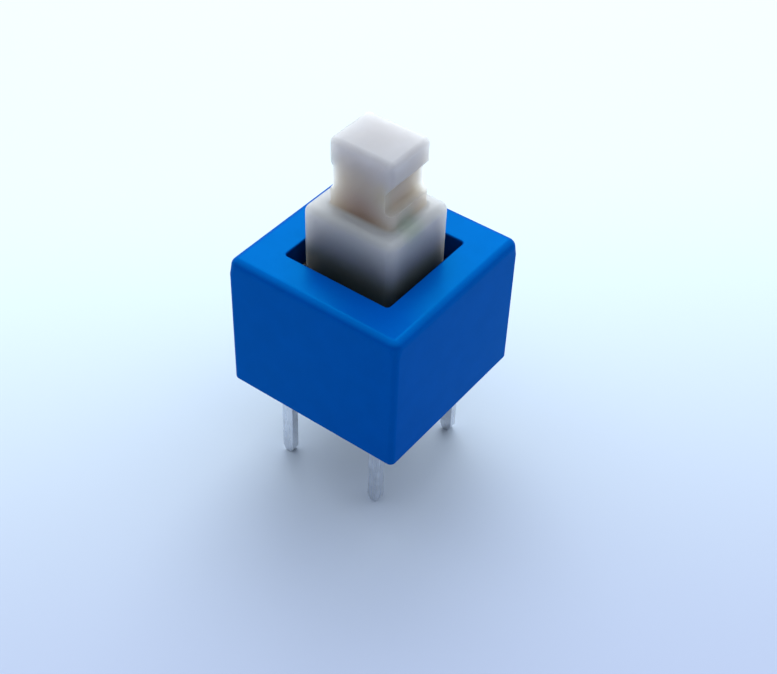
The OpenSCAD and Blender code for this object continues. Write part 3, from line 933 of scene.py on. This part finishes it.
def barb(side, half, reach, floor):
    """A wedge that snaps into the case's wall. Its slope starts a little above its foot."""
    slope, proud = 0.12, 0.01  # height of the slope's start, and how far the wedge's head stands out
    near, far = rows(side, half - LAP, reach)
    wedge = block("barb", (-BARB_HALF, near, floor - BARB_FOOT), (BARB_HALF, far, floor - BARB_HEAD))
    score(wedge, floor - BARB_FOOT + slope)
    move(wedge, lambda v: v.co.z > floor - BARB_HEAD - TINY and v.co.y * side > half,
         (0, -side * (reach - half - proud), 0))
    return wedge


def cut_pin_slot(base, name, under, floor, pin_width):
    """Cuts the slot for a pin, with a wider seat above for the blade's shoulder."""
    low, high = node_box(name)
    middle = (low.x + high.x) / 2
    half = pin_width / 2 + PRESS
    near, far, above = low.y - PRESS, high.y + PRESS, floor + REACH
    cut(base, block("slot", (middle - half, near, under - REACH), (middle + half, far, above)))
    cut(base, block("seat", (low.x - PRESS, near, floor - SEAT), (high.x + PRESS, far, above)))


def cut_latch_well(base, half, floor):
    """Cuts the well for the latch wire and its leaf, and the hole in which the wire turns."""
    low, high = node_box("latch_wire")
    leaf_low, leaf_high = node_box("latch_leaf")
    wire = (high.y - low.y) / 2
    under, beside = 0.15, 0.1  # room below the wire and beyond its bend
    cut(base, block("well", (-half - REACH, leaf_low.y - FIT, low.z - under),
                    (low.x + 2 * wire + beside, leaf_high.y + FIT, floor + REACH)))
    pivot = low + Vector((wire, wire, wire))
    cut(base, rod("pivot", wire + TURN, pivot, (high.x + LAP, pivot.y, pivot.z), 24))


class SWITCH_OT_spring(bpy.types.Operator):
    """Model the return spring: a coil of wire with closed ends, pressed together by the plunger"""

    bl_idname = "switch.spring"
    bl_label = "Return spring"

    def execute(self, context):
        size = context.scene.switch_spring
        seat = floor_level()
        roof = node_box("plunger")[0].z + in_mm(context.scene.switch_plunger.bore_depth)
        wire = in_mm(size.wire)
        inset = in_mm(size.play) + wire / 2
        spring = coil("return_coil", in_mm(size.width) / 2, wire, size.turns, seat + inset, roof - inset)
        dress(spring, "Steel wire", "housing", "return_spring")
        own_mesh(spring)
        return {"FINISHED"}


def coil(name, radius, wire, turns, bottom, top):
    """A coil of wire round the middle axis. Its end turns lie closed, and the others evenly open."""
    steps = 32  # points in each turn
    pitch = (top - bottom - 2 * wire) / (turns - 2)
    path = bpy.data.curves.new(name, "CURVE")
    path.dimensions = "3D"
    path.bevel_depth = wire / 2
    path.bevel_resolution = 2
    path.use_fill_caps = True
    line = path.splines.new("POLY")
    line.points.add(turns * steps)
    for index, point in enumerate(line.points):
        turn = index / steps
        closed = min(turn, 1) + max(turn - turns + 1, 0)
        opened = min(max(turn - 1, 0), turns - 2)
        angle = turn * math.tau
        height = bottom + closed * wire + opened * pitch
        point.co = (radius * math.cos(angle), radius * math.sin(angle), height, 1)
    obj = bpy.data.objects.new(name, path)
    bpy.context.scene.collection.objects.link(obj)
    take(obj)
    bpy.ops.object.convert(target="MESH")
    return settle(bpy.context.object, name)


class SWITCH_OT_terminals(bpy.types.Operator):
    """Model the four stamped terminals"""

    bl_idname = "switch.terminals"
    bl_label = "Terminals"

    def execute(self, context):
        size = context.scene.switch_metal
        seat = floor_level() - SEAT
        for front, rear in (TERMINALS[0::2], TERMINALS[1::2]):
            strip = stamped_terminal(size, front, seat)
            copy = strip.copy()
            copy.data = strip.data.copy()
            context.collection.objects.link(copy)
            copy.location.y = node_box(rear)[0].y - node_box(front)[0].y
            settle(copy, rear + "_strip")
            dress(strip, "Tinned strip", "housing", front)
            dress(copy, "Tinned strip", "housing", rear)
        return {"FINISHED"}


def stamped_terminal(size, name, seat):
    """A terminal cut from strip: a tapered pin below its shoulders and a chamfered blade above them."""
    low, high = node_box(name)
    middle = (low.x + high.x) / 2
    half = in_mm(size.pin_width) / 2
    root, taper = 0.5, 0.5  # how far the pin runs up into the blade, and the share of its width at the tip
    strip = block(name + "_strip", (middle - half, low.y, low.z), (middle + half, high.y, seat + root))
    score(strip, low.z + in_mm(size.tip))
    stretch(strip, lambda v: v.co.z < low.z + TINY, (taper, 1, 1), (middle, 0, 0))
    blade = block("blade", (low.x, low.y, seat), high)
    on_top = lies_at(2, high.z)
    round_edges(blade, lambda e: on_top(e) and abs(e.verts[0].co.x - e.verts[1].co.x) < TINY,
                in_mm(size.chamfer), 1)
    return soften(weld(strip, blade), in_mm(size.burr), 2, 40)


class SWITCH_OT_stage(bpy.types.Operator):
    """Set the floor, the soft light and the camera"""

    bl_idname = "switch.stage"
    bl_label = "Stage"

    def execute(self, context):
        scene = context.scene
        settings = scene.switch_stage
        deselect()
        bpy.ops.mesh.primitive_plane_add(size=2.0, location=(0, 0, cad_low[2]))
        floor = settle(bpy.context.object, "floor")
        floor.data.materials.append(floor_finish(settings))
        scene.world = soft_room(settings)
        soft_lamp("Key", (-62, 88, 120), (0, 0, 8), settings.key_size, settings.key, settings.key_colour)
        scene.camera = aimed_camera()
        scene.view_settings.view_transform = "Standard"
        return {"FINISHED"}


def soft_room(settings):
    """Light from all round, strong from above and behind and weak in front."""
    world = bpy.data.worlds.new("Soft room")
    world.use_nodes = True
    tree = world.node_tree
    tree.nodes.clear()
    where = add_node(tree, "TexCoord", (-900, 0)).outputs["Generated"]
    behind = Vector((-0.30, 0.42, 0.86)).normalized()
    toward = calculate(tree, (-700, 0), "DOT_PRODUCT", where, behind, kind="VectorMath")
    strength = spread(tree, (-450, 0), toward, "SMOOTHSTEP", From_Min=-0.1, From_Max=0.9,
                      To_Min=settings.front, To_Max=settings.fill)
    light = feed(tree, add_node(tree, "Background", (0, 0)), Color=opaque(settings.sky_colour),
                 Strength=strength)
    backdrop = feed(tree, add_node(tree, "Background", (0, -150)), Color=opaque(settings.backdrop),
                    Strength=1.0)
    rays = add_node(tree, "LightPath", (-200, 250))
    mix = add_node(tree, "MixShader", (250, 0))
    output = add_node(tree, "OutputWorld", (450, 0))
    seen = rays.outputs["Is Camera Ray"]
    for value, socket in zip((seen, light.outputs[0], backdrop.outputs[0]), mix.inputs):
        connect(tree, value, socket)
    tree.links.new(mix.outputs[0], output.inputs["Surface"])
    return world


def soft_lamp(name, place, target, size, power, colour):
    """A square soft lamp that faces the target. Places are in millimetres."""
    data = bpy.data.lights.new(name, "AREA")
    data.shape = "SQUARE"
    data.size = size
    data.energy = power
    data.color = colour
    lamp = bpy.data.objects.new(name, data)
    lamp.visible_camera = False
    bpy.context.scene.collection.objects.link(lamp)
    lamp.location = Vector(place) * MM
    lamp.rotation_euler = (Vector(target) * MM - lamp.location).to_track_quat("-Z", "Y").to_euler()
    return lamp


def aimed_camera():
    """The camera, in front of the switch and above it."""
    lens = bpy.data.cameras.new("Camera")
    lens.sensor_width = 36.0
    lens.sensor_fit = "HORIZONTAL"
    lens.lens = 65.70
    lens.clip_start = 1 * MM
    lens.clip_end = 5.0
    camera = bpy.data.objects.new("Camera", lens)
    bpy.context.scene.collection.objects.link(camera)
    place = Vector((26.407, -36.053, 47.618)) * MM
    right = Vector((0.80004, 0.59930, 0.02801)).normalized()
    forward = Vector((-0.42492, 0.59898, -0.67873)).normalized()
    turn = Matrix((right, right.cross(forward), -forward)).transposed()
    camera.matrix_world = Matrix.Translation(place) @ turn.to_4x4()
    return camera


def floor_finish(settings):
    """Matt card, white behind the switch, with painted shade that turns it blue-grey in front of it."""
    material, tree, shader = start_material("Pale card")
    where = add_node(tree, "TexCoord", (-900, 0)).outputs["Object"]
    back = (-0.69, 0.72, 0.0)
    ahead = calculate(tree, (-700, 0), "DOT_PRODUCT", where, back, kind="VectorMath")
    # Painted shade: the floor darkens from its lit white behind the switch to blue-grey in front of it, where
    # less light falls.
    paleness = spread(tree, (-500, 0), ahead, "SMOOTHSTEP", From_Min=-20 * MM, From_Max=22 * MM)
    tone = mixed(tree, (-250, 0), paleness, opaque(settings.floor_front_shade), opaque(settings.floor_back))
    grain = noise(tree, (-500, -250), Vector=where, Scale=3000.0, Detail=3.0)
    feed(tree, shader, Base_Color=tone, Normal=bumped(tree, (-200, -250), grain, 0.1, 0.01), Roughness=0.75,
         Specular_IOR_Level=0.2)
    return material


class SWITCH_PT_panel(bpy.types.Panel):
    """Lists the steps that build the switch"""

    bl_label = "Pushbutton Switch"
    bl_idname = "SWITCH_PT_panel"
    bl_space_type = "VIEW_3D"
    bl_region_type = "UI"
    bl_category = "Switch"

    def draw(self, context):
        for step in STEPS:
            self.layout.operator(step)


SETTINGS = {
    "switch_case": SwitchCaseSettings, "switch_plunger": SwitchPlungerSettings,
    "switch_base": SwitchBaseSettings, "switch_metal": SwitchMetalSettings,
    "switch_spring": SwitchSpringSettings, "switch_stage": SwitchStageSettings,
}
OPERATORS = (
    SWITCH_OT_finishes, SWITCH_OT_inner_finishes, SWITCH_OT_case, SWITCH_OT_plunger, SWITCH_OT_base,
    SWITCH_OT_spring, SWITCH_OT_terminals, SWITCH_OT_stage,
)
STEPS = [operator.bl_idname for operator in OPERATORS]
CLASSES = (*SETTINGS.values(), *OPERATORS, SWITCH_PT_panel)


def register():
    for cls in CLASSES:
        bpy.utils.register_class(cls)
    for name, group in SETTINGS.items():
        setattr(bpy.types.Scene, name, bpy.props.PointerProperty(type=group))


def unregister():
    for name in SETTINGS:
        delattr(bpy.types.Scene, name)
    for cls in reversed(CLASSES):
        bpy.utils.unregister_class(cls)


def main():
    """Registers the add-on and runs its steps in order."""
    register()
    for step in STEPS:
        group, name = step.split(".")
        result = getattr(getattr(bpy.ops, group), name)()
        if result != {"FINISHED"}:
            raise RuntimeError(f"{step} did not finish")


if __name__ == "__main__":
    main()
